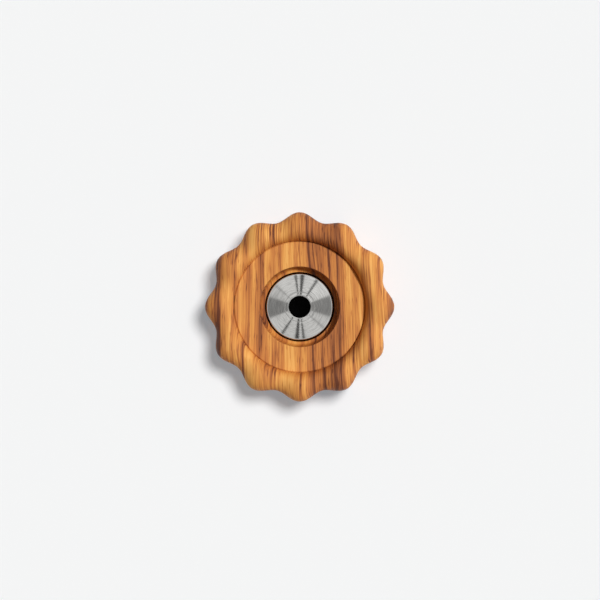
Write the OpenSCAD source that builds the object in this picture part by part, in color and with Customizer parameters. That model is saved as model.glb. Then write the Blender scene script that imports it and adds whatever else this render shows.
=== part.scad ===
// Scalloped wooden valve knob with a turned steel insert and a grub screw.
// Units are millimetres. The knob rests on its plain face at z = 0, with the
// dished mounting side up and the spindle bore along +Z.

/* [Rim] */
// Diameter over the tips of the lobes
knob_d = 51; // [40:0.5:70]
// Number of lobes round the rim
lobes = 12; // [8:1:16]
// Depth of a scallop, from the tip of a lobe to the bottom of a valley
scallop_depth = 2.15; // [1:0.05:4]
// Width of the rim at a lobe, from the bead's foot to the tip
rim_w = 7.75; // [5:0.05:12]
// Width of the quirk, the fine groove that parts the dish from the bead
quirk_w = 0.3; // [0.2:0.05:1]
// Depth of the quirk below the dish
quirk_d = 0.2; // [0.1:0.05:0.8]
// Width of the bead's inner flank at a lobe, from its foot to its crest
bead_in = 3.3; // [2:0.1:4.5]
// Rise of the rim's bead from the dish to its crest at a lobe
bead_rise = 3.8; // [2:0.1:6]
// Height of the bead's upright foot above the dish at a lobe
bead_foot = 0.3; // [0.2:0.1:1.5]
// Lean of the bead's flank where it leaves the foot, in degrees from upright
bead_lean = 10; // [0:1:50]
// Fall of the bead from its crest to the upright side at a lobe
bead_fall = 3.8; // [1:0.1:6]
// Height of the rounding along the lower edge
edge_h = 3; // [1:0.1:6]
// Width of the rounding along the lower edge
edge_w = 2.4; // [1:0.1:6]

/* [Recess] */
// Thickness of the wood below the insert
web_t = 1.7; // [1.5:0.1:6]
// Depth of the coved recess below the dish
recess_depth = 3.3; // [1:0.1:4]
// Width of the seat between the socket and the foot of the cove
seat_w = 0.5; // [0.3:0.05:2]
// Width of the cove, from the seat to the mouth of the recess
cove_w = 1.05; // [0.2:0.05:2]

/* [Steel insert] */
// Outside diameter of the insert
insert_d = 18; // [14:0.1:24]
// Length of the insert
insert_l = 5.5; // [4:0.1:10]
// Height that the insert's face stands above the seat
insert_proud = 0.3; // [0:0.05:0.9]
// Radial gap of the glue line round the insert
glue_gap = 0.3; // [0.05:0.05:0.5]
// Chamfer round both ends of the insert
insert_chamfer = 0.15; // [0.1:0.05:0.4]
// Diameter of the spindle bore
bore_d = 6; // [4:0.1:8]
// Chamfer at the mouth of the bore
bore_chamfer = 0.35; // [0.1:0.05:0.6]
// Distance from the bore's wall to the middle of the turned ring round it
ring_offset = 1.1; // [0.9:0.05:4]
// Width of the turned ring
ring_w = 0.4; // [0.2:0.05:0.8]
// Depth of the turned ring
ring_depth = 0.15; // [0.05:0.05:0.5]

/* [Grub screw] */
// Nominal diameter of the grub screw
screw_d = 3; // [2.5:0.5:4]
// Length of the grub screw
screw_l = 5; // [4:0.1:8]
// Distance from the bore's wall to the screw's point, backed off
screw_backoff = 0.3; // [0.1:0.05:1]
// Radial play of the screw in its tapped hole
screw_play = 0.05; // [0.02:0.01:0.1]
// Chamfer at both ends of the screw
screw_chamfer = 0.3; // [0.1:0.05:0.5]
// Width across the flats of the key socket
key_af = 1.5; // [1.3:0.1:2]
// Depth of the key socket
key_depth = 1.6; // [1:0.1:3]
// Diameter of the screw's cup point
cup_d = 1.5; // [0.8:0.1:2]
// Depth of the screw's cup point
cup_depth = 0.5; // [0.2:0.1:1]
// Radial clearance of the access hole round the screw
access_clearance = 0.3; // [0.1:0.05:0.6]
// Valley of the rim that the access hole leaves through
access_valley = 3; // [0:1:7]

/* [Hidden] */

steps_per_lobe = 16; // facets along one lobe
bead_steps = 12; // facets across the bead
edge_steps = 6; // facets round the lower edge
cove_steps = 6; // facets across the cove
cut = 1; // how far a cutter runs past the face that it opens
$fn = 96;

knob_r = knob_d / 2;
bead_r = knob_r - rim_w;
dish_r = bead_r - quirk_w;
turns = lobes * steps_per_lobe;

insert_r = insert_d / 2;
socket_r = insert_r + glue_gap;
seat_r = socket_r + seat_w;
bore_r = bore_d / 2;
ring_r = bore_r + ring_offset;

insert_base = web_t;
insert_top = insert_base + insert_l;
seat_z = insert_top - insert_proud;
dish_z = seat_z + recess_depth;

screw_r = screw_d / 2;
screw_z = insert_base + insert_l / 2;
screw_tip = bore_r + screw_backoff;
access_angle = (access_valley + 0.5) * 360 / lobes;

// Radius of the scalloped outline at an angle, with a lobe at angle 0
function outline_r(angle) = knob_r - scallop_depth / 2 * (1 - cos(lobes * angle));

// Width of the bead at an angle, as a share of its width at a lobe
function bead_share(angle) = (outline_r(angle) - bead_r) / rim_w;

// A point on the bead's arch, whose turn is bead_lean on the foot, 90 at the crest and
// 180 at the side. Each flank of the arch is a part of an ellipse, level at the crest. The
// inner one meets the foot at a lean, and the outer one runs upright into the side. The
// bead keeps its proportions as it narrows, so its crest dips at each valley.
function bead_point(angle, turn) =
    let (inner = turn < 90, share = bead_share(angle))
    let (reach = inner ? bead_in / cos(bead_lean) : rim_w - bead_in)
    let (fall = inner ? (bead_rise - bead_foot) / (1 - sin(bead_lean)) : bead_fall)
    let (r = bead_in - reach * cos(turn), h = bead_rise - fall * (1 - sin(turn)))
    polar(bead_r + r * share, angle, dish_z + h * share);

// The turn of ring k of the bead, with as many rings inside the crest as outside it
function bead_turn(k) =
    let (share = k / bead_steps)
    share < 0.5 ? bead_lean + (90 - bead_lean) * 2 * share : 180 * share;

// A point on the lower edge, from turn 0 at the side to 90 at the resting face
function edge_point(angle, turn) =
    polar(outline_r(angle) - edge_w * (1 - cos(turn)), angle, edge_h * (1 - sin(turn)));

function polar(r, angle, z) = [r * cos(angle), r * sin(angle), z];

// The outside of the knob: rings of points from the dish, through the quirk, over the
// bead, down the side and round the lower edge, joined by triangles and closed by two flats
module scalloped_blank() {
    angles = [for (i = [0 : turns - 1]) i * 360 / turns];
    rings = concat(
        [[for (a = angles) polar(dish_r, a, dish_z)]],
        [[for (a = angles) polar(bead_r, a, dish_z - quirk_d)]],
        [for (k = [0 : bead_steps]) [for (a = angles) bead_point(a, bead_turn(k))]],
        [for (k = [0 : edge_steps]) [for (a = angles) edge_point(a, k * 90 / edge_steps)]]
    );
    last = len(rings) - 1;
    skin = [
        for (k = [0 : last - 1], i = [0 : turns - 1])
            let (here = k * turns, below = here + turns, next = (i + 1) % turns)
            each [
                [here + i, here + next, below + i],
                [here + next, below + next, below + i]
            ]
    ];
    dish_floor = [for (i = [turns - 1 : -1 : 0]) i];
    resting_face = [for (i = [0 : turns - 1]) last * turns + i];
    polyhedron([for (ring = rings) each ring], concat(skin, [dish_floor, resting_face]));
}

// Socket for the insert, with the coved recess above it
module insert_socket() {
    rotate_extrude()
        polygon([
            [0, insert_base],
            [socket_r, insert_base],
            [socket_r, seat_z],
            for (k = [0 : cove_steps])
                let (turn = k * 90 / cove_steps)
                [seat_r + cove_w * sin(turn), seat_z + recess_depth * (1 - cos(turn))],
            [seat_r + cove_w, dish_z + cut],
            [0, dish_z + cut]
        ]);
}

// Places its children with +Z along the grub screw's axis, from the bore outwards
module along_screw() {
    translate([0, 0, screw_z])
        rotate([0, 90, access_angle])
            children();
}

module wooden_knob() {
    color("peru")
        difference() {
            scalloped_blank();
            insert_socket();
            along_screw()
                cylinder(h = knob_r + cut, r = screw_r + access_clearance);
        }
}

// Turned bush with a plain bore, a chamfer at each edge and a fine ring in its face
module steel_insert() {
    color("silver")
        difference() {
            rotate_extrude()
                polygon([
                    [bore_r, insert_base],
                    [insert_r - insert_chamfer, insert_base],
                    [insert_r, insert_base + insert_chamfer],
                    [insert_r, insert_top - insert_chamfer],
                    [insert_r - insert_chamfer, insert_top],
                    [ring_r + ring_w / 2, insert_top],
                    [ring_r, insert_top - ring_depth],
                    [ring_r - ring_w / 2, insert_top],
                    [bore_r + bore_chamfer, insert_top],
                    [bore_r, insert_top - bore_chamfer]
                ]);
            along_screw()
                cylinder(h = insert_r + cut, r = screw_r + screw_play);
        }
}

// Cup-point grub screw with a hexagon socket, backed off from the bore
module grub_screw() {
    key_r = key_af / 2 / cos(30);
    color("dimgray")
        along_screw()
            translate([0, 0, screw_tip])
                difference() {
                    rotate_extrude()
                        polygon([
                            [0, cup_depth],
                            [cup_d / 2, 0],
                            [screw_r - screw_chamfer, 0],
                            [screw_r, screw_chamfer],
                            [screw_r, screw_l - screw_chamfer],
                            [screw_r - screw_chamfer, screw_l],
                            [0, screw_l]
                        ]);
                    translate([0, 0, screw_l - key_depth])
                        cylinder(h = key_depth + cut, r = key_r, $fn = 6);
                }
}

wooden_knob();
steel_insert();
grub_screw();
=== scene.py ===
# Looks for a scalloped wooden valve knob with a turned steel insert
import math

import bpy
from mathutils import Matrix, Vector


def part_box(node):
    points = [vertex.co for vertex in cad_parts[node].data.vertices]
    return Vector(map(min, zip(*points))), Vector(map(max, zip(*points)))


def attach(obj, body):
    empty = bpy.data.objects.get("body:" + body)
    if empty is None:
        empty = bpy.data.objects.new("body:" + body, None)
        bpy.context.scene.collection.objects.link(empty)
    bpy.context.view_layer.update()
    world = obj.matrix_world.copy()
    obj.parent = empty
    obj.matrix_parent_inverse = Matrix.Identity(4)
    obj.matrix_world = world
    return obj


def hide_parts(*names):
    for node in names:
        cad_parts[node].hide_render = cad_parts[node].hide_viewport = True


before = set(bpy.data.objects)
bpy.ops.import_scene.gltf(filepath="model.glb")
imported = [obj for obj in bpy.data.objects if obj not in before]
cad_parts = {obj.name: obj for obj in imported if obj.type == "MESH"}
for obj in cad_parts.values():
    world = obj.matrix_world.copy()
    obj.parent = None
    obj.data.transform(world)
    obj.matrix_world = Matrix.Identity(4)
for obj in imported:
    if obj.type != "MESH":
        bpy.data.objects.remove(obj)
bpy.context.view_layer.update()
mm = 0.001
quarterTurn = math.pi / 2
drillReach = 1.1  # length of a drill from the axis, as a share of the radius that it passes
noiseLow, noiseHigh = 0.3, 0.7  # most of a noise lies between these levels
print("frame loaded:", ", ".join(sorted(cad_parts)))


# sRGB hex to the linear colour that the shaders take
def hexToLinear(code):
    parts = [int(code[i:i + 2], 16) / 255 for i in (1, 3, 5)]
    return [c / 12.92 if c <= 0.04045 else ((c + 0.055) / 1.055) ** 2.4 for c in parts] + [1.0]


def grey(level):
    return [level, level, level, 1]


# inputs maps a socket to a value, a socket or a node, whose first output is then used
def addNode(tree, kind, inputs=None, stops=None, **settings):
    node = tree.nodes.new(kind)
    for name, value in settings.items():
        setattr(node, name, value)
    if stops:
        ends = node.color_ramp.elements
        ends[0].position, ends[0].color = stops[0]
        ends[1].position, ends[1].color = stops[-1]
        for position, colour in stops[1:-1]:
            node.color_ramp.elements.new(position).color = colour
    for socket, value in (inputs or {}).items():
        if isinstance(value, bpy.types.Node):
            value = value.outputs[0]
        if isinstance(value, bpy.types.NodeSocket):
            tree.links.new(value, node.inputs[socket])
        else:
            node.inputs[socket].default_value = value
    return node


def newMaterial(name):
    material = bpy.data.materials.new(name)
    material.use_nodes = True
    material.node_tree.nodes.clear()
    return material, material.node_tree


# Place on a piece in mm, the same without its height, and the distance from the knob's axis
def placeOnKnob(tree):
    place = addNode(tree, "ShaderNodeTexCoord").outputs["Object"]
    inMm = addNode(tree, "ShaderNodeVectorMath", {0: place, "Scale": 1 / mm}, operation="SCALE")
    flat = addNode(tree, "ShaderNodeVectorMath", {0: inMm, 1: (1, 1, 0)}, operation="MULTIPLY")
    radius = addNode(tree, "ShaderNodeVectorMath", {0: flat}, operation="LENGTH").outputs["Value"]
    return inMm, flat, radius


# 1 for the kinds of ray that are named, 0 for others
def seenBy(tree, *rays):
    path = addNode(tree, "ShaderNodeLightPath")
    seen = path.outputs[rays[0]]
    for ray in rays[1:]:
        seen = addNode(tree, "ShaderNodeMath", {0: seen, 1: path.outputs[ray]}, operation="MAXIMUM")
    return seen


# Line through (radius, height, ease) corners: an eased corner is rounded off, with a
# guard point on each side so that the flats beside it stay flat
def easedLine(corners, steps=5, guard=1.8):
    points = []
    for i, (radius, height, ease) in enumerate(corners):
        corner = Vector((radius, height))
        if not ease:
            points.append(corner)
            continue
        back = (Vector(corners[i - 1][:2]) - corner).normalized() * ease
        onward = (Vector(corners[i + 1][:2]) - corner).normalized() * ease
        points.append(corner + back * guard)
        for step in range(steps + 1):
            t = step / steps
            points.append(corner + back * (1 - t) ** 2 + onward * t ** 2)
        points.append(corner + onward * guard)
    return [tuple(point) for point in points]


def selectOnly(piece):
    bpy.ops.object.select_all(action="DESELECT")
    bpy.context.view_layer.objects.active = piece
    piece.select_set(True)


# A circle is extruded ring by ring, then each ring is pulled to its place. section has
# one (radius, height) point for each ring, or a function of the angle that gives it.
def turnPiece(name, segments, section, placing=None):
    bpy.ops.object.select_all(action="DESELECT")
    bpy.ops.mesh.primitive_circle_add(vertices=segments, radius=1)
    piece = bpy.context.object
    piece.name = name
    bpy.ops.object.mode_set(mode="EDIT")
    bpy.ops.mesh.select_all(action="SELECT")
    for _ in section[1:]:
        bpy.ops.mesh.extrude_region_move(TRANSFORM_OT_translate={"value": (0, 0, 1)})
    bpy.ops.object.mode_set(mode="OBJECT")
    for vertex in piece.data.vertices:
        angle = math.atan2(vertex.co.y, vertex.co.x)
        point = section[round(vertex.co.z)]
        radius, height = point(angle) if callable(point) else point
        vertex.co = (radius * math.cos(angle), radius * math.sin(angle), height)
    if placing:
        piece.data.transform(placing)
    bpy.ops.object.mode_set(mode="EDIT")
    bpy.ops.mesh.select_all(action="SELECT")
    bpy.ops.mesh.remove_doubles(threshold=0.001 * mm)  # closes the poles
    bpy.ops.mesh.normals_make_consistent(inside=False)
    bpy.ops.object.mode_set(mode="OBJECT")
    return piece


def drill(piece, cutter):
    selectOnly(piece)
    bpy.ops.object.modifier_add(type="BOOLEAN")
    hole = piece.modifiers[-1]
    hole.operation = "DIFFERENCE"
    hole.solver = "EXACT"
    hole.object = cutter
    bpy.ops.object.modifier_apply(modifier=hole.name)
    bpy.data.objects.remove(cutter)


def finishPiece(piece, material, node, smoothAngle=32):
    selectOnly(piece)
    bpy.ops.object.shade_smooth_by_angle(angle=math.radians(smoothAngle))
    piece.data.materials.clear()
    piece.data.materials.append(material)
    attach(piece, "root")
    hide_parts(node)
    print("made", piece.name, "with", len(piece.data.polygons), "faces")


# Wooden knob
knobShape = {
    "lobes": 12,
    "scallopDepth": 2.15 * mm,  # tip of a lobe to the bottom of a valley
    "rimWidth": 7.75 * mm,  # foot of the bead to the tip of a lobe
    "quirkWidth": 0.3 * mm,  # fine groove that parts the dish from the bead
    "quirkDepth": 0.2 * mm,
    "beadIn": 3.3 * mm,  # foot to the crest of a lobe
    "beadRise": 3.8 * mm,  # dish to the crest of a lobe
    "beadFoot": 0.3 * mm,  # upright part of that
    "beadLean": math.radians(10),  # of the flank where it leaves the foot, from upright
    "beadFall": 3.8 * mm,  # crest of a lobe to the upright side
    "edgeHeight": 3.0 * mm,  # rounding along the lower edge
    "edgeWidth": 2.4 * mm,
    "coveWidth": 1.05 * mm,  # hollow wall of the recess
    "seatWidth": 0.5 * mm,  # ledge round the socket
    "insertProud": 0.3 * mm,  # steel face above that ledge
    "glueGap": 0.3 * mm,
    "ease": 0.16 * mm,  # sanded corners
    "accessAngle": math.radians(105),  # key hole, through the middle of a valley
    "accessRadius": 1.8 * mm,
    "accessFlare": 0.5 * mm,  # how much its sanded mouth widens
    "flareStart": 0.3 * mm,  # inside the bottom of the valley
    "flareEnd": 1.0 * mm,  # outside it
    "accessSegments": 64,
    "stepsPerLobe": 30,
    "coveSteps": 12,
    "beadSteps": 18,  # on each side of the crest
    "sideSteps": 4,
    "edgeSteps": 12,
}
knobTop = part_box("wooden_knob")[1]
insertLow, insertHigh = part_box("steel_insert")
screwLow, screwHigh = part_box("grub_screw")
beadRadius = knobTop.x - knobShape["rimWidth"]
dishRadius = beadRadius - knobShape["quirkWidth"]
dishHeight = knobTop.z - knobShape["beadRise"]
seatHeight = insertHigh.z - knobShape["insertProud"]
socketRadius = insertHigh.x + knobShape["glueGap"]
seatRadius = socketRadius + knobShape["seatWidth"]
mouthRadius = seatRadius + knobShape["coveWidth"]
screwHeight = (screwLow.z + screwHigh.z) / 2
alongScrew = (
    Matrix.Translation((0, 0, screwHeight))
    @ Matrix.Rotation(knobShape["accessAngle"], 4, "Z")
    @ Matrix.Rotation(quarterTurn, 4, "Y")
)


def outlineRadius(angle):
    return knobTop.x - knobShape["scallopDepth"] / 2 * (1 - math.cos(knobShape["lobes"] * angle))


# The bead's arch: turn is beadLean on the foot, a quarter turn at the crest and half a
# turn at the side, and the arch is lower where it is narrower
def beadPoint(angle, turn):
    share = (outlineRadius(angle) - beadRadius) / knobShape["rimWidth"]
    inward, lean = knobShape["beadIn"], knobShape["beadLean"]
    if turn < quarterTurn:
        reach = inward * math.cos(turn) / math.cos(lean)
        fall = (knobShape["beadRise"] - knobShape["beadFoot"]) / (1 - math.sin(lean))
    else:
        reach = (knobShape["rimWidth"] - inward) * math.cos(turn)
        fall = knobShape["beadFall"]
    rise = knobShape["beadRise"] - fall * (1 - math.sin(turn))
    return beadRadius + (inward - reach) * share, dishHeight + rise * share


# The upright side, from share 0 below the bead to 1 above the lower edge
def sidePoint(angle, share):
    top = beadPoint(angle, math.pi)[1]
    return outlineRadius(angle), top + (knobShape["edgeHeight"] - top) * share


# The lower edge, from turn 0 at the side to a quarter turn at the resting face
def edgePoint(angle, turn):
    inset = knobShape["edgeWidth"] * (1 - math.cos(turn))
    return outlineRadius(angle) - inset, knobShape["edgeHeight"] * (1 - math.sin(turn))


def makeKnob(material):
    ease, lean, steps = knobShape["ease"], knobShape["beadLean"], knobShape["beadSteps"]
    cove = []
    for step in range(knobShape["coveSteps"]):
        turn = quarterTurn * step / knobShape["coveSteps"]
        rise = (dishHeight - seatHeight) * (1 - math.cos(turn))
        cove.append((seatRadius + knobShape["coveWidth"] * math.sin(turn), seatHeight + rise, 0))
    section = easedLine([
        (0, insertLow.z, 0),
        (socketRadius, insertLow.z, 0),
        (socketRadius, seatHeight, ease),
        *cove,
        (mouthRadius, dishHeight, ease),
        (dishRadius, dishHeight, ease / 2),
        (beadRadius, dishHeight - knobShape["quirkDepth"], 0),
        (beadRadius, dishHeight, 0),
    ])
    turns = [lean + (quarterTurn - lean) * step / steps for step in range(steps)]
    turns += [quarterTurn + quarterTurn * step / steps for step in range(steps + 1)]
    for turn in turns:
        section.append(lambda angle, turn=turn: beadPoint(angle, turn))
    for step in range(1, knobShape["sideSteps"] + 1):
        share = step / knobShape["sideSteps"]
        section.append(lambda angle, share=share: sidePoint(angle, share))
    for step in range(1, knobShape["edgeSteps"] + 1):
        turn = quarterTurn * step / knobShape["edgeSteps"]
        section.append(lambda angle, turn=turn: edgePoint(angle, turn))
    guardRadius = dishRadius  # keeps the resting face flat up to its edge
    section += [(guardRadius, 0), (0, 0)]
    knob = turnPiece("woodenKnob", knobShape["lobes"] * knobShape["stepsPerLobe"], section)

    valleyRadius = outlineRadius(knobShape["accessAngle"])
    bore = knobShape["accessRadius"]
    mouth = bore + knobShape["accessFlare"]
    access = turnPiece("accessDrill", knobShape["accessSegments"], [
        (0, 0),
        (bore, 0),
        (bore, valleyRadius - knobShape["flareStart"]),
        (mouth, valleyRadius + knobShape["flareEnd"]),
        (mouth, knobTop.x * drillReach),
        (0, knobTop.x * drillReach),
    ], alongScrew)
    drill(knob, access)
    finishPiece(knob, material, "wooden_knob")


# Steel insert
insertShape = {
    "boreRadius": 3.0 * mm,
    "boreChamfer": 0.35 * mm,
    "chamfer": 0.15 * mm,
    "ringOffset": 1.1 * mm,  # wall of the bore to the middle of the turned ring
    "ringWidth": 0.4 * mm,
    "ringDepth": 0.15 * mm,
    "ease": 0.05 * mm,  # polished corners
    "easeSteps": 3,
    "segments": 192,
    "tappedRadius": 1.55 * mm,
    "tapSegments": 48,
}


def makeInsert(material):
    shape = insertShape
    top, base, radius = insertHigh.z, insertLow.z, insertHigh.x
    bore, chamfer, ease = shape["boreRadius"], shape["chamfer"], shape["ease"]
    ring, halfRing = bore + shape["ringOffset"], shape["ringWidth"] / 2
    section = easedLine([
        (bore, base, 0),
        (radius - chamfer, base, 0),
        (radius, base + chamfer, 0),
        (radius, top - chamfer, ease),
        (radius - chamfer, top, ease),
        (ring + halfRing, top, ease / 2),
        (ring, top - shape["ringDepth"], 0),
        (ring - halfRing, top, ease / 2),
        (bore + shape["boreChamfer"], top, ease),
        (bore, top - shape["boreChamfer"], ease),
        (bore, base, 0),
    ], steps=shape["easeSteps"])
    insert = turnPiece("steelInsert", shape["segments"], section)
    tap = turnPiece("tapDrill", shape["tapSegments"], [
        (0, 0),
        (shape["tappedRadius"], 0),
        (shape["tappedRadius"], radius * drillReach),
        (0, radius * drillReach),
    ], alongScrew)
    drill(insert, tap)
    finishPiece(insert, material, "steel_insert")


# Grub screw
screwShape = {
    "radius": 1.5 * mm,
    "length": 5.0 * mm,
    "tipPlace": 3.3 * mm,  # cup point from the middle of the bore
    "pitch": 0.5 * mm,
    "threadDepth": 0.28 * mm,
    "flankSlope": 1.3,  # steepness of the thread's flanks, against a sharp V
    "crestFlat": 0.15,  # share of the depth that is left off the crest
    "chamfer": 0.3 * mm,
    "keyFlats": 1.5 * mm,
    "keyDepth": 1.6 * mm,
    "keyLip": 0.08 * mm,  # lead-in round the key socket
    "cupRadius": 0.75 * mm,
    "cupDepth": 0.5 * mm,
    "segments": 48,
    "ringsPerPitch": 8,
}


# A helix cut into the shank, run out by the chamfer at each end
def threadPoint(angle, height):
    shape = screwShape
    phase = (height / shape["pitch"] - angle / (2 * math.pi)) % 1
    groove = min(1, max(0, abs(2 * phase - 1) * shape["flankSlope"] - shape["crestFlat"]))
    toEnd = min(height, shape["length"] - height)
    runOut = shape["radius"] - shape["chamfer"] + toEnd
    return min(shape["radius"] - shape["threadDepth"] * groove, runOut), height


# The hexagon of the key socket, wider all round by grow
def keyPoint(angle, grow, height):
    sixth = math.pi / 3
    fromFlat = (angle % sixth) - sixth / 2
    return (screwShape["keyFlats"] / 2 + grow) / math.cos(fromFlat), height


def makeScrew(material):
    shape = screwShape
    length, lip = shape["length"], shape["keyLip"]
    keyFloor = length - shape["keyDepth"]
    section = [(0, shape["cupDepth"]), (shape["cupRadius"], 0)]
    rings = round(length / shape["pitch"] * shape["ringsPerPitch"])
    for step in range(rings + 1):
        height = length * step / rings
        section.append(lambda angle, height=height: threadPoint(angle, height))
    section.append(lambda angle: keyPoint(angle, lip, length))
    section.append(lambda angle: keyPoint(angle, 0, length - lip))
    section.append(lambda angle: keyPoint(angle, 0, keyFloor))
    section.append((0, keyFloor))
    placing = alongScrew @ Matrix.Translation((0, 0, shape["tipPlace"]))
    screw = turnPiece("grubScrew", shape["segments"], section, placing)
    finishPiece(screw, material, "grub_screw")


# Teak, turned and sanded, with an oil finish: straight golden grain crossed by dark
# growth lines, thin pores along the grain and a soft sheen with no gloss coat
teakLook = {
    # slant of the layers along Y, from the place (mm) of the first to that of the second
    "slant": ((-12, -0.02), (2, 0.042)),
    "lean": (0.13, 0.3),  # mm that a layer moves for each mm of height, in the rim and the dish
    "rimHeight": 2.8,  # mm above the dish at which the rim's bands are placed
    "wander": 0.3,  # mm that a layer strays from straight
    "wanderSize": (9, 26, 18),  # mm across, along and down, in which it does so
    "dishEdge": 0.1,  # mm inside the foot of the bead, where the dish's bands end
    "halfSpan": 26,  # mm covered by the bands on each side
    # growth bands across the knob: place in mm, then paleness from 0 to 1. The dish was
    # turned deeper into the plank, so it shows other layers than the rim.
    "dishBands": [
        (-17.2, 0.6), (-15.7, 0.7), (-14.3, 0.35), (-13.6, 0.4), (-12.6, 0.7),
        (-11.5, 0.4), (-10.85, 0.05), (-10.25, 0.3), (-8.7, 0.86), (-7.4, 0.52),
        (-6.3, 0.6), (-5.1, 0.36), (-4.3, 0.6), (-3.3, 0.88), (-2.0, 0.84),
        (-0.7, 0.6), (0.1, 0.66), (1.4, 0.43), (2.4, 0.45), (3.2, 0.0),
        (3.9, 0.3), (4.5, 0.47), (5.2, 0.32), (7.2, 0.45), (8.7, 0.27),
        (10.0, 0.3), (10.5, 0.04), (11.1, 0.25), (12.2, 0.54), (14.0, 0.7),
        (14.8, 0.5), (16.2, 0.68),
    ],
    "rimBands": [
        (-24.9, 0.12), (-23.6, 0.85), (-22.4, 0.05), (-21.5, 0.05), (-20.8, 0.56),
        (-18.4, 0.68), (-17.5, 0.48), (-16.3, 0.9), (-15.1, 0.3), (-14.2, 0.85),
        (-12.8, 0.92), (-11.6, 0.56), (-10.3, 0.58), (-8.6, 0.74), (-7.8, 0.46),
        (-6.2, 0.64), (-3.6, 0.74), (-1.5, 0.66), (2.4, 0.37), (2.75, 0.0),
        (3.15, 0.0), (3.6, 0.26), (6.8, 0.36), (9.2, 0.12), (10.7, 0.08),
        (12.3, 0.62), (13.7, 0.42), (16.8, 0.92), (18.4, 0.34), (19.9, 0.66),
        (22.8, 0.54), (24.4, 0.2),
    ],
    # streaks within the bands, from slow patches to fibres, which are drawn wider than
    # real ones so that they show: width, length and depth in mm, then change of paleness
    "streaks": [
        (2.6, 11, 9, 0.22), (1.1, 40, 20, 0.28), (0.42, 28, 14, 0.44), (0.2, 9, 6, 0.28),
    ],
    "streakLevels": (0.25, 0.75),  # of the noise, for the whole of that change
    "rimContrast": 1.4,  # streaks on the rim, where the surface cuts across more layers
    "denseLines": (0.3, 0.4),  # below this paleness streaks fade, in the darkest to this share
    "veins": (0.26, 0.04),  # darker in the thin lines between layers, paler beside them
    "veinSize": (1.5, 42, 40),  # mm between them, along them and in depth
    "veinLevel": 0.03,  # distance from the noise's middle level at which a vein has faded
    "poreSize": (0.26, 3.2, 2.5),  # mm, wider than real pores so that they show
    "poreLevels": (0.66, 0.78),  # of the noise, from no pore to a full one
    "poreDark": 0.3,
    "poreDepth": 1.5,  # heights of a fibre
    "bump": (0.35, 0.02),  # strength, then mm that a fibre stands up
    # colour by paleness
    "tones": [
        (0.0, "#6B4030"), (0.14, "#945D3D"), (0.3, "#B07043"), (0.45, "#C17E49"),
        (0.6, "#D08E50"), (0.82, "#E0A25A"), (1.0, "#EAB268"),
    ],
    "roughness": (0.42, 0.58),
    "ior": 1.5,
    "specular": 0.2,
    "endGrain": "#F6E6CE",  # tint where the fibres end at the surface and drink more oil
    "recessTint": "#ECE2D6",  # tint of the recess
    "recessEdge": (-0.2, 0.05),  # mm from the mouth of the recess, over which it fades
    "recessDepth": 0.4,  # mm below the dish, over which it sets in
    "quirkShade": "#F2EAE2",  # tint of the painted shade in the quirk
    "quirkShadeSpread": 0.05,  # mm past the quirk
    # black of the epoxy round the insert; at the bottom of the bore it is painted shade
    "epoxyAndShade": "#020202",
    "epoxyAndShadeSpread": (0.12, 0.02, 0.5),  # mm past the socket's wall, its edge and its floor
}


# Soft spots of the given size in mm, across, along and down the grain
def grainPattern(tree, place, size, detail):
    scaled = addNode(
        tree, "ShaderNodeMapping", {"Vector": place, "Scale": [1 / length for length in size]})
    return addNode(tree, "ShaderNodeTexNoise", {"Vector": scaled, "Scale": 1, "Detail": detail})


# Place across the growth layers, which slant, wander and lean a little, and a place in
# the grain that follows them
def teakLayers(tree, inMm, inDish):
    look = teakLook
    x, y, z = addNode(tree, "ShaderNodeSeparateXYZ", {0: inMm}).outputs
    (left, leftSlant), (right, rightSlant) = look["slant"]
    slant = addNode(
        tree, "ShaderNodeMapRange", {0: x, 1: left, 2: right, 3: leftSlant, 4: rightSlant})
    across = addNode(tree, "ShaderNodeMath", {0: y, 1: slant, 2: x}, operation="MULTIPLY_ADD")
    drift = grainPattern(tree, inMm, look["wanderSize"], detail=2)
    shift = addNode(
        tree, "ShaderNodeMapRange",
        {0: drift, 1: noiseLow, 2: noiseHigh, 3: -look["wander"], 4: look["wander"]}, clamp=False)
    shifted = addNode(tree, "ShaderNodeMath", {0: across, 1: shift}, operation="ADD")
    bandHeight = addNode(
        tree, "ShaderNodeMapRange",
        {0: inDish, 3: dishHeight / mm + look["rimHeight"], 4: dishHeight / mm})
    above = addNode(tree, "ShaderNodeMath", {0: z, 1: bandHeight}, operation="SUBTRACT")
    rimLean, dishLean = look["lean"]
    lean = addNode(tree, "ShaderNodeMapRange", {0: inDish, 3: rimLean, 4: dishLean})
    layer = addNode(
        tree, "ShaderNodeMath", {0: above, 1: lean, 2: shifted}, operation="MULTIPLY_ADD")
    return layer, addNode(tree, "ShaderNodeCombineXYZ", {0: layer, 1: y, 2: z})


# Paleness of the growth bands
def teakBands(tree, layer, inDish):
    span = teakLook["halfSpan"]
    share = addNode(tree, "ShaderNodeMapRange", {0: layer, 1: -span, 2: span})
    dishBands, rimBands = (
        addNode(
            tree, "ShaderNodeValToRGB", {0: share},
            stops=[((at + span) / (2 * span), grey(pale)) for at, pale in teakLook[name]])
        for name in ("dishBands", "rimBands"))
    return addNode(
        tree, "ShaderNodeMix", {0: inDish, 6: rimBands, 7: dishBands}, data_type="RGBA").outputs[2]


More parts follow.
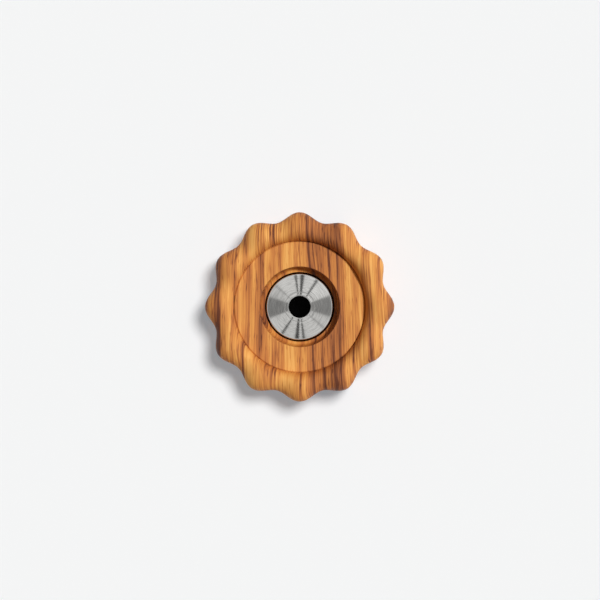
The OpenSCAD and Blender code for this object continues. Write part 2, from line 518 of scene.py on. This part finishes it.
# Paleness of the bands with streaks, veins and pores in them, and the pores and fibres
def teakGrain(tree, grain, bands, inDish):
    look = teakLook
    tone = 0
    low, high = look["streakLevels"]
    for *size, change in look["streaks"]:
        fibre = grainPattern(tree, grain, size, detail=1)  # the last streaks are the fibres
        streak = addNode(
            tree, "ShaderNodeMapRange",
            {0: fibre, 1: low, 2: high, 3: -change / 2, 4: change / 2}, clamp=False)
        tone = addNode(tree, "ShaderNodeMath", {0: tone, 1: streak}, operation="ADD")

    # a vein runs where the noise crosses its middle level
    veinNoise = grainPattern(tree, grain, look["veinSize"], detail=1)
    fromVein = addNode(
        tree, "ShaderNodeMath", {0: veinNoise, 1: (noiseLow + noiseHigh) / 2}, operation="SUBTRACT")
    fromVein = addNode(tree, "ShaderNodeMath", {0: fromVein}, operation="ABSOLUTE")
    darker, paler = look["veins"]
    veins = addNode(
        tree, "ShaderNodeMapRange", {0: fromVein, 2: look["veinLevel"], 3: -darker, 4: paler})
    tone = addNode(tree, "ShaderNodeMath", {0: tone, 1: veins}, operation="ADD")

    contrast = addNode(tree, "ShaderNodeMapRange", {0: inDish, 3: look["rimContrast"], 4: 1})
    fadeBelow, fadedShare = look["denseLines"]
    fade = addNode(tree, "ShaderNodeMapRange", {0: bands, 2: fadeBelow, 3: fadedShare, 4: 1})
    contrast = addNode(tree, "ShaderNodeMath", {0: contrast, 1: fade}, operation="MULTIPLY")
    tone = addNode(
        tree, "ShaderNodeMath", {0: tone, 1: contrast, 2: bands}, operation="MULTIPLY_ADD")

    poreNoise = grainPattern(tree, grain, look["poreSize"], detail=0)
    none, full = look["poreLevels"]
    pores = addNode(tree, "ShaderNodeMapRange", {0: poreNoise, 1: none, 2: full})
    tone = addNode(
        tree, "ShaderNodeMath", {0: pores, 1: -look["poreDark"], 2: tone}, operation="MULTIPLY_ADD")
    return tone, pores, fibre


# The colour, darker on end grain and in the recess, with painted shade in the quirk
def teakStainsAndShade(tree, colour, radius, z, upper):
    look = teakLook
    facing = addNode(tree, "ShaderNodeTexCoord").outputs["Normal"]
    alongFibre = addNode(
        tree, "ShaderNodeVectorMath", {0: facing, 1: (0, 1, 0)}, operation="DOT_PRODUCT")
    alongFibre = alongFibre.outputs["Value"]
    fibreEnds = addNode(
        tree, "ShaderNodeMath", {0: alongFibre, 1: alongFibre}, operation="MULTIPLY")

    # the recess is darker, fading out near its mouth and towards the dish's height
    inner, outer = (mouthRadius / mm + edge for edge in look["recessEdge"])
    withinMouth = addNode(
        tree, "ShaderNodeMapRange", {0: radius, 1: inner, 2: outer, 3: 1, 4: 0})
    belowDish = addNode(
        tree, "ShaderNodeMapRange",
        {0: z, 1: dishHeight / mm - look["recessDepth"], 2: dishHeight / mm, 3: 1, 4: 0})
    inRecess = addNode(tree, "ShaderNodeMath", {0: withinMouth, 1: belowDish}, operation="MULTIPLY")

    # painted shade along the quirk: the fine groove is drawn a little darker
    quirkMiddle = (dishRadius + beadRadius) / 2 / mm
    quirkHalf = (beadRadius - dishRadius) / 2 / mm
    inQuirk = addNode(
        tree, "ShaderNodeMath", {0: radius, 1: quirkMiddle, 2: quirkHalf + look["quirkShadeSpread"]},
        operation="COMPARE")
    shadedQuirk = addNode(tree, "ShaderNodeMath", {0: inQuirk, 1: upper}, operation="MULTIPLY")

    # end grain and the recess are darker; the quirk's tint is painted shade
    for stained, tint in ((fibreEnds, "endGrain"), (inRecess, "recessTint"), (shadedQuirk, "quirkShade")):
        colour = addNode(
            tree, "ShaderNodeMix", {0: stained, 6: colour, 7: hexToLinear(look[tint])},
            data_type="RGBA", blend_type="MULTIPLY").outputs[2]
    return colour


# 1 where black epoxy that set the insert covers the socket's wall and edge, and on the socket's floor,
# where the black seen at the bottom of the bore is painted shade
def epoxyAndShadeMask(tree, radius, z):
    pastWall, pastEdge, pastFloor = teakLook["epoxyAndShadeSpread"]
    withinWall = addNode(
        tree, "ShaderNodeMath", {0: radius, 1: socketRadius / mm + pastWall}, operation="LESS_THAN")
    belowEdge = addNode(
        tree, "ShaderNodeMath", {0: z, 1: seatHeight / mm + pastEdge}, operation="LESS_THAN")
    overFloor = addNode(
        tree, "ShaderNodeMath", {0: z, 1: insertLow.z / mm - pastFloor}, operation="GREATER_THAN")
    mask = addNode(tree, "ShaderNodeMath", {0: withinWall, 1: belowEdge}, operation="MULTIPLY")
    return addNode(tree, "ShaderNodeMath", {0: mask, 1: overFloor}, operation="MULTIPLY")


def makeTeak():
    look = teakLook
    material, tree = newMaterial("oiledTeak")
    inMm, _, radius = placeOnKnob(tree)
    z = addNode(tree, "ShaderNodeSeparateXYZ", {0: inMm}).outputs["Z"]

    # the dish's layers inside the quirk and above the web, the rim's elsewhere
    inside = addNode(
        tree, "ShaderNodeMath", {0: radius, 1: beadRadius / mm - look["dishEdge"]},
        operation="LESS_THAN")
    upper = addNode(
        tree, "ShaderNodeMath", {0: z, 1: insertLow.z / 2 / mm}, operation="GREATER_THAN")
    inDish = addNode(tree, "ShaderNodeMath", {0: inside, 1: upper}, operation="MULTIPLY")
    layer, grain = teakLayers(tree, inMm, inDish)
    bands = teakBands(tree, layer, inDish)
    tone, pores, fibre = teakGrain(tree, grain, bands, inDish)
    colour = addNode(
        tree, "ShaderNodeValToRGB", {0: tone},
        stops=[(at, hexToLinear(code)) for at, code in look["tones"]])
    # darker end grain and recess, and painted shade in the quirk
    colour = teakStainsAndShade(tree, colour, radius, z, upper)
    # black epoxy round the insert, and painted shade on the floor at the bottom of the bore
    epoxyAndBoreShade = epoxyAndShadeMask(tree, radius, z)
    colour = addNode(
        tree, "ShaderNodeMix", {0: epoxyAndBoreShade, 6: colour, 7: hexToLinear(look["epoxyAndShade"])},
        data_type="RGBA").outputs[2]

    smooth, rough = look["roughness"]
    roughness = addNode(
        tree, "ShaderNodeMapRange", {0: fibre, 1: noiseLow, 2: noiseHigh, 3: smooth, 4: rough})
    roughness = addNode(tree, "ShaderNodeMath", {0: roughness, 1: epoxyAndBoreShade}, operation="MAXIMUM")
    relief = addNode(
        tree, "ShaderNodeMath", {0: pores, 1: -look["poreDepth"], 2: fibre},
        operation="MULTIPLY_ADD")
    strength, height = look["bump"]
    bump = addNode(
        tree, "ShaderNodeBump", {"Strength": strength, "Distance": height * mm, "Height": relief})
    shader = addNode(
        tree, "ShaderNodeBsdfPrincipled",
        {"Base Color": colour, "Roughness": roughness, "Normal": bump,
         "IOR": look["ior"], "Specular IOR Level": look["specular"]})
    addNode(tree, "ShaderNodeOutputMaterial", {0: shader})
    return material


# Stainless steel, faced on a lathe: each fine ring leans a little in or out, so a light
# or a dark gap overhead is drawn out into a spoke
steelLook = {
    "colour": "#C4C3C0",
    "roughness": 0.09,
    "anisotropy": 0.6,
    "anisotropyTurn": 0.25,  # a quarter turn, so that light is drawn out across the marks
    "feed": 0.025,  # mm between tool marks
    "lean": 0.17,  # slope of the flanks of a mark
    "leanSpread": 0.15,  # share by which it differs from ring to ring
    "outward": 0.72,  # share of marks that lean outwards, because the face is a bit hollow
    "ringWidth": 0.35,  # mm, coarser rings drawn wide enough to show
    "brokenEdge": (8.5, 8.65, 0.27),  # mm from and to, then the slope that the edge leans to
    "boreMouth": (3.4, 3.32, 0.3),  # the same for the chamfer of the bore
    "polish": 0.45,  # share of its slope that a chamfer or groove keeps, rounded by polishing
    "speckle": (0.15, 3.2, 0.18),  # mm across, marks in a radian, change of brightness
}


def makeSteel():
    look = steelLook
    material, tree = newMaterial("turnedStainless")
    _, flat, radius = placeOnKnob(tree)
    outward = addNode(tree, "ShaderNodeVectorMath", {0: flat}, operation="NORMALIZE")

    mark = addNode(tree, "ShaderNodeMath", {0: radius, 1: look["feed"]}, operation="SNAP")
    draw = addNode(tree, "ShaderNodeTexWhiteNoise", {"W": mark}, noise_dimensions="1D")
    side = addNode(
        tree, "ShaderNodeMath", {0: draw.outputs["Value"], 1: look["outward"]}, operation="LESS_THAN")
    side = addNode(tree, "ShaderNodeMapRange", {0: side, 3: -1, 4: 1})
    rings = addNode(
        tree, "ShaderNodeTexNoise", {"W": radius, "Scale": 1 / look["ringWidth"], "Detail": 2},
        noise_dimensions="1D")
    least, most = (look["lean"] * (1 + spread) for spread in (-look["leanSpread"], look["leanSpread"]))
    slope = addNode(
        tree, "ShaderNodeMapRange", {0: rings, 1: noiseLow, 2: noiseHigh, 3: least, 4: most})
    lean = addNode(tree, "ShaderNodeMath", {0: side, 1: slope}, operation="MULTIPLY")
    for edge in ("brokenEdge", "boreMouth"):
        start, end, edgeLean = look[edge]
        nearEdge = addNode(tree, "ShaderNodeMapRange", {0: radius, 1: start, 2: end})
        lean = addNode(
            tree, "ShaderNodeMix", {0: nearEdge, 2: lean, 3: edgeLean}, data_type="FLOAT")
    push = addNode(tree, "ShaderNodeVectorMath", {0: outward, "Scale": lean}, operation="SCALE")
    facing = addNode(tree, "ShaderNodeNewGeometry").outputs["Normal"]
    polish = look["polish"]
    leaning = addNode(
        tree, "ShaderNodeVectorMath", {0: facing, 1: (polish, polish, 1), 2: push},
        operation="MULTIPLY_ADD")
    normal = addNode(tree, "ShaderNodeVectorMath", {0: leaning}, operation="NORMALIZE")
    tangent = addNode(tree, "ShaderNodeTangent", direction_type="RADIAL", axis="Z")

    # short bright and dull arcs along the tool marks
    width, around, change = look["speckle"]
    ringPlace = addNode(tree, "ShaderNodeMath", {0: radius, 1: width}, operation="DIVIDE")
    ringPlace = addNode(tree, "ShaderNodeCombineXYZ", {2: ringPlace})
    arcPlace = addNode(
        tree, "ShaderNodeVectorMath", {0: outward, 1: (around, around, 0), 2: ringPlace},
        operation="MULTIPLY_ADD")
    arcs = addNode(tree, "ShaderNodeTexNoise", {"Vector": arcPlace, "Scale": 1, "Detail": 1})
    shine = addNode(
        tree, "ShaderNodeMapRange",
        {0: arcs, 1: noiseLow, 2: noiseHigh, 3: 1 - change, 4: 1 + change})
    colour = addNode(
        tree, "ShaderNodeVectorMath", {0: hexToLinear(look["colour"])[:3], "Scale": shine},
        operation="SCALE")
    shader = addNode(
        tree, "ShaderNodeBsdfPrincipled",
        {"Base Color": colour, "Metallic": 1, "Roughness": look["roughness"],
         "Anisotropic": look["anisotropy"], "Anisotropic Rotation": look["anisotropyTurn"],
         "Tangent": tangent, "Normal": normal})
    addNode(tree, "ShaderNodeOutputMaterial", {0: shader})
    return material


# Hardened steel with black oxide: dark, oily, faintly mottled
oxideLook = {
    "mottle": 0.35,  # mm
    "tones": [(0.3, "#1E1E20"), (0.75, "#39393B")],  # level of the mottle, then colour
    "roughness": 0.42,
}


def makeOxide():
    look = oxideLook
    material, tree = newMaterial("blackOxideSteel")
    place = addNode(tree, "ShaderNodeTexCoord").outputs["Object"]
    mottle = addNode(
        tree, "ShaderNodeTexNoise",
        {"Vector": place, "Scale": 1 / (look["mottle"] * mm), "Detail": 3})
    colour = addNode(
        tree, "ShaderNodeValToRGB", {0: mottle},
        stops=[(at, hexToLinear(code)) for at, code in look["tones"]])
    shader = addNode(
        tree, "ShaderNodeBsdfPrincipled",
        {"Base Color": colour, "Metallic": 1, "Roughness": look["roughness"]})
    addNode(tree, "ShaderNodeOutputMaterial", {0: shader})
    return material


makeKnob(makeTeak())
makeInsert(makeSteel())
makeScrew(makeOxide())

# Pale floor and studio
studio = {
    "floorSize": 6.0,
    "floorDrop": 0.02 * mm,  # keeps the floor clear of the resting face
    "paper": 0.72,  # grey that the floor shows, with its own glow on top
    "paperGlow": (0.163, 0.213, 0.263),  # cool, so that it evens out the warm fill
    "fill": (0.215, 0.155, 0.086),  # light from all round, warm so that shaded wood keeps its colour
    "backdrop": 0.922,  # pale level round the horizon
    # the wood's shading and the shadow on the floor come from two lamps, as in the photo
    "woodKey": {"azimuth": 24, "elevation": 57, "angle": 8, "share": 0.82},
    "floorKey": {"azimuth": 45, "elevation": 67.5, "angle": 19, "share": 0.82},
    # levels that only reflections see: the room up to a ceiling, and in it a round of
    # strip panels. Both begin at a height, as the sine of the elevation.
    "room": 0.45,
    "ceiling": 0.85,
    "ceilingHeight": (0.5, 0.7),
    "panelHeight": (0.85, 0.9),
    # azimuth in degrees and level, and the same again half a turn on
    "panels": [
        (0, 0.34), (19, 0.34), (23, 0.92), (53.5, 0.98), (55, 0.08), (58.5, 0.08), (60, 0.95),
        (80.5, 0.92), (82, 0.06), (88.5, 0.06), (89.5, 1.0), (94.5, 1.0), (95.5, 0.06),
        (99, 0.06), (100.5, 0.92), (135.5, 0.9), (137, 0.55), (140, 0.55), (142, 0.85),
        (160, 0.72), (163.5, 0.34), (180, 0.34),
    ],
    "brightSide": 50,  # azimuth where the panels are a little brighter
    "unevenness": 0.14,
}


# Matt pale paper: even, with no sheen, and it keeps the soft shadow
def makeFloor():
    bpy.ops.object.select_all(action="DESELECT")
    bpy.ops.mesh.primitive_plane_add(
        size=studio["floorSize"], location=(0, 0, -studio["floorDrop"]))
    floor = bpy.context.object
    floor.name = "floor"
    material, tree = newMaterial("palePaper")
    looked = seenBy(tree, "Is Camera Ray", "Is Glossy Ray", "Is Transmission Ray")
    paper = addNode(tree, "ShaderNodeBsdfDiffuse", {"Color": grey(studio["paper"])})
    glow = addNode(
        tree, "ShaderNodeEmission", {"Color": [*studio["paperGlow"], 1], "Strength": looked})
    both = addNode(tree, "ShaderNodeAddShader", {0: paper, 1: glow})
    addNode(tree, "ShaderNodeOutputMaterial", {0: both})
    floor.data.materials.append(material)
    return floor


# What the steel reflects
def makePanels(tree):
    direction = addNode(tree, "ShaderNodeTexCoord").outputs["Generated"]
    x, y, z = addNode(tree, "ShaderNodeSeparateXYZ", {0: direction}).outputs
    azimuth = addNode(tree, "ShaderNodeMath", {0: y, 1: x}, operation="ARCTAN2")
    halfTurn = addNode(
        tree, "ShaderNodeMath", {0: azimuth, 1: math.pi}, operation="FLOORED_MODULO")
    share = addNode(tree, "ShaderNodeMath", {0: halfTurn, 1: math.pi}, operation="DIVIDE")
    panels = addNode(
        tree, "ShaderNodeValToRGB", {0: share},
        stops=[(at / 180, grey(level)) for at, level in studio["panels"]])
    fromBright = addNode(
        tree, "ShaderNodeMath", {0: azimuth, 1: math.radians(studio["brightSide"])},
        operation="SUBTRACT")
    facing = addNode(tree, "ShaderNodeMath", {0: fromBright}, operation="COSINE")
    uneven = addNode(
        tree, "ShaderNodeMath", {0: facing, 1: studio["unevenness"], 2: 1}, operation="MULTIPLY_ADD")
    lit = addNode(tree, "ShaderNodeVectorMath", {0: panels, "Scale": uneven}, operation="SCALE")
    for below, height in (("ceiling", "panelHeight"), ("room", "ceilingHeight")):
        start, end = studio[height]
        over = addNode(tree, "ShaderNodeMapRange", {0: z, 1: start, 2: end})
        lit = addNode(
            tree, "ShaderNodeMix", {0: over, 6: grey(studio[below]), 7: lit},
            data_type="RGBA").outputs[2]
    return lit


def makeWorld():
    world = bpy.data.worlds.new("studioWorld")
    world.use_nodes = True
    tree = world.node_tree
    tree.nodes.clear()
    looked = seenBy(tree, "Is Camera Ray", "Is Transmission Ray")
    level = addNode(
        tree, "ShaderNodeMix",
        {0: looked, 6: [*studio["fill"], 1], 7: grey(studio["backdrop"])}, data_type="RGBA")
    reflected = seenBy(tree, "Is Glossy Ray")
    light = addNode(
        tree, "ShaderNodeMix", {0: reflected, 6: level.outputs[2], 7: makePanels(tree)},
        data_type="RGBA")
    sky = addNode(tree, "ShaderNodeBackground", {"Color": light.outputs[2]})
    addNode(tree, "ShaderNodeOutputWorld", {0: sky})
    bpy.context.scene.world = world


# A soft sun that lights only the floor, or everything but the floor
def makeKey(name, floor, floorOnly):
    lamp = studio[name]
    elevation = math.radians(lamp["elevation"])
    data = bpy.data.lights.new(name, "SUN")
    data.energy = lamp["share"] * math.pi / math.sin(elevation)
    data.angle = math.radians(lamp["angle"])
    key = bpy.data.objects.new(name, data)
    key.rotation_euler = (0, quarterTurn - elevation, math.radians(lamp["azimuth"]))
    key.visible_glossy = False  # the panels make the reflections
    bpy.context.scene.collection.objects.link(key)
    lit = bpy.data.collections.new(name + "Lit")
    lit.objects.link(floor)
    if not floorOnly:
        lit.collection_objects[0].light_linking.link_state = "EXCLUDE"
    key.light_linking.receiver_collection = lit


# Camera: straight down, far away with a long lens
view = {
    "frameSide": 600,  # pixels
    "axisPixel": (299.68, 306.87),  # where the knob's axis is, from the left and the top
    "pixelsPerMm": 3.717,  # at the height of the rim
    "rimHeight": 11.0 * mm,
    "distance": 0.8,  # above the rim
    "sensorWidth": 36,
}


def makeCamera():
    data = bpy.data.cameras.new("camera")
    data.sensor_width = view["sensorWidth"]
    pixel = mm / view["pixelsPerMm"]
    data.lens = view["sensorWidth"] * view["distance"] / (view["frameSide"] * pixel)
    camera = bpy.data.objects.new("camera", data)
    middle = view["frameSide"] / 2
    fromLeft, fromTop = view["axisPixel"]
    camera.location = (
        (middle - fromLeft) * pixel, (fromTop - middle) * pixel, view["rimHeight"] + view["distance"])
    bpy.context.scene.collection.objects.link(camera)
    bpy.context.scene.camera = camera


floor = makeFloor()
makeWorld()
makeKey("woodKey", floor, floorOnly=False)
makeKey("floorKey", floor, floorOnly=True)
makeCamera()
bpy.context.scene.view_settings.view_transform = "Standard"
print("studio ready")
